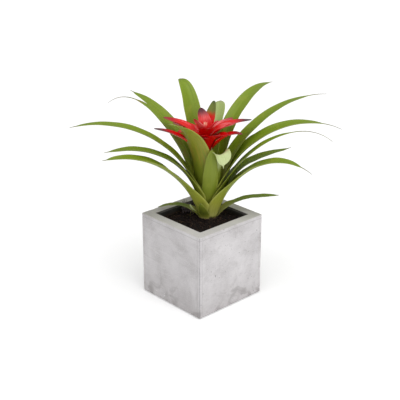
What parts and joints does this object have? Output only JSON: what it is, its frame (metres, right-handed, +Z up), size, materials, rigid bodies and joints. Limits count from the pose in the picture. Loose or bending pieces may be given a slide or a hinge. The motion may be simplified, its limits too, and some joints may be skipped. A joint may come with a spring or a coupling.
{
  "type": "planter box",
  "caption": "Square cast concrete planter with a lift-out liner, gravel, soil and a red-flowering bromeliad.",
  "frame": {"origin": "centre of the square base on the floor, under the base pad", "axes": "+Z up; X and Y square to the planter's sides; the corner at -X, -Y is the front one"},
  "size_m": [0.3967, 0.3507, 0.3685],
  "materials": {
    "cast_concrete": "cast grey concrete, mottled, with pinholes",
    "pad_rubber": "matte foam rubber",
    "black_plastic": "matte black moulded plastic",
    "gravel": "rounded pebbles",
    "bark_soil": "dark damp bark and peat mix",
    "root_soil": "peat bound by fine roots",
    "green_stalk": "smooth pale green stem",
    "flower_bud": "waxy orange and yellow bud",
    "green_leaf": "satin green leaf with fine long veins",
    "red_bract": "waxy red bract with a dark tip"
  },
  "bodies": {
    "planter": {"concrete_planter": "cast_concrete", "base_pad": "pad_rubber"},
    "planting": {"inner_liner": "black_plastic", "drainage_gravel": "gravel", "potting_soil": "bark_soil", "root_ball": "root_soil", "flower_stalk": "green_stalk", "flower_bud": "flower_bud", "leaf_inner_front": "green_leaf", "leaf_inner_back": "green_leaf", "leaf_front_arched": "green_leaf", "leaf_front_broad": "green_leaf", "leaf_back_broad": "green_leaf", "leaf_right_1": "green_leaf", "leaf_left_1": "green_leaf", "leaf_right_2": "green_leaf", "leaf_left_2": "green_leaf", "leaf_right_3": "green_leaf", "leaf_left_3": "green_leaf", "leaf_right_4": "green_leaf", "leaf_right_short": "green_leaf", "leaf_left_4": "green_leaf", "leaf_back_low_1": "green_leaf", "leaf_right_5": "green_leaf", "leaf_left_5": "green_leaf", "leaf_right_6": "green_leaf", "leaf_front_small": "green_leaf", "leaf_front_stub": "green_leaf", "leaf_left_low": "green_leaf", "leaf_back_low_2": "green_leaf", "leaf_right_low": "green_leaf", "bract_1": "red_bract", "bract_2": "red_bract", "bract_3": "red_bract", "bract_4": "red_bract", "bract_5": "red_bract", "bract_6": "red_bract", "bract_7": "red_bract", "bract_8": "red_bract", "bract_9": "red_bract", "bract_10": "red_bract", "bract_11": "red_bract", "bract_12": "red_bract", "bract_13": "red_bract", "bract_14": "red_bract", "bract_15": "red_bract", "bract_16": "red_bract", "bract_17": "red_bract", "bract_18": "red_bract"}
  },
  "joints": [
    {"name": "planting_lift", "type": "slide", "parent": "planter", "child": "planting", "axis": [0, 0, 1], "range_m": [0, 0.16]}
  ]
}
